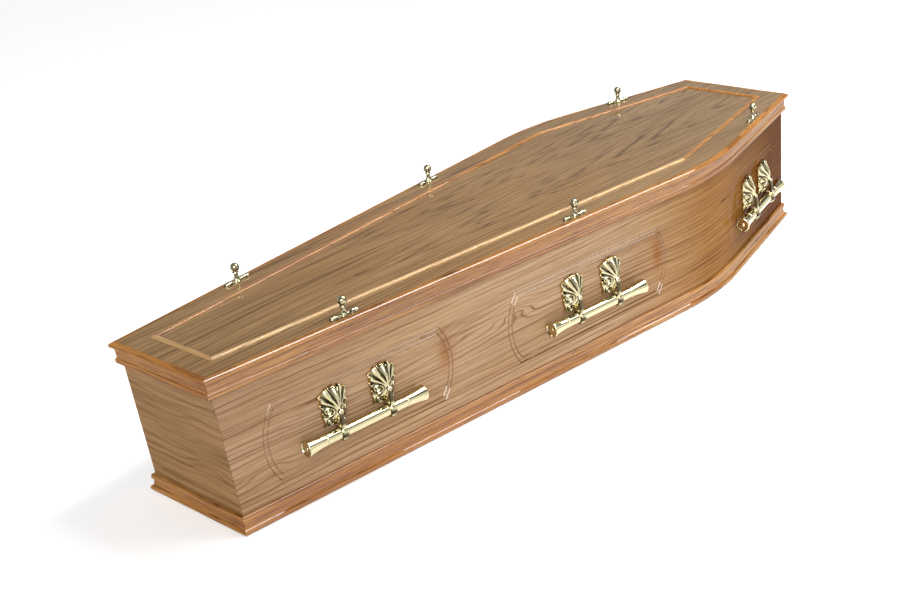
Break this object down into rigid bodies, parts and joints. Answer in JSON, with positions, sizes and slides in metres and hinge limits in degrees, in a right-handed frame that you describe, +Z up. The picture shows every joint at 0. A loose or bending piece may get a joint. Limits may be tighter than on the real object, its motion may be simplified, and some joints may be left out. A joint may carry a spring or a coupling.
{
  "type": "wooden coffin",
  "caption": "Shouldered six-sided coffin of veneered boards with moulded edges, round bar handles on leaf plates, and a lift-off lid with a planted bead and ball-topped lid screws.",
  "frame": {"origin": "centre of the whole part's box in plan, on the surface it stands on", "axes": "+X towards the head end, +Y towards the coffin's left side, +Z up"},
  "size_m": [1.93, 0.5738, 0.3823],
  "materials": {
    "oak_veneer": "stained oak veneer under clear gloss lacquer",
    "solid_oak": "warm stained solid moulding under clear gloss lacquer",
    "brass": "polished pale brass plating"
  },
  "bodies": {
    "root": {"base_board": "oak_veneer", "side_board_left": "oak_veneer", "side_board_right": "oak_veneer", "foot_end_board": "oak_veneer", "head_end_board": "oak_veneer", "base_moulding_left": "solid_oak", "base_moulding_right": "solid_oak", "base_moulding_foot": "solid_oak", "base_moulding_head": "solid_oak", "lid_board": "oak_veneer", "lid_moulding_left": "solid_oak", "lid_moulding_right": "solid_oak", "lid_moulding_foot": "solid_oak", "lid_moulding_head": "solid_oak", "lid_bead_leg_left": "solid_oak", "lid_bead_shoulder_left": "solid_oak", "lid_bead_head": "solid_oak", "lid_bead_shoulder_right": "solid_oak", "lid_bead_leg_right": "solid_oak", "lid_bead_foot": "solid_oak", "handle_bar_left_foot": "brass", "handle_bar_left_middle": "brass", "handle_bar_left_head": "brass", "handle_bar_right_foot": "brass", "handle_bar_right_middle": "brass", "handle_bar_right_head": "brass", "handle_plate_left_foot_1": "brass", "handle_plate_left_foot_2": "brass", "handle_plate_left_middle_1": "brass", "handle_plate_left_middle_2": "brass", "handle_plate_left_head_1": "brass", "handle_plate_left_head_2": "brass", "handle_plate_right_foot_1": "brass", "handle_plate_right_foot_2": "brass", "handle_plate_right_middle_1": "brass", "handle_plate_right_middle_2": "brass", "handle_plate_right_head_1": "brass", "handle_plate_right_head_2": "brass", "lid_screw_left_foot": "brass", "lid_screw_left_middle": "brass", "lid_screw_left_head": "brass", "lid_screw_right_foot": "brass", "lid_screw_right_middle": "brass", "lid_screw_right_head": "brass"}
  },
  "joints": []
}
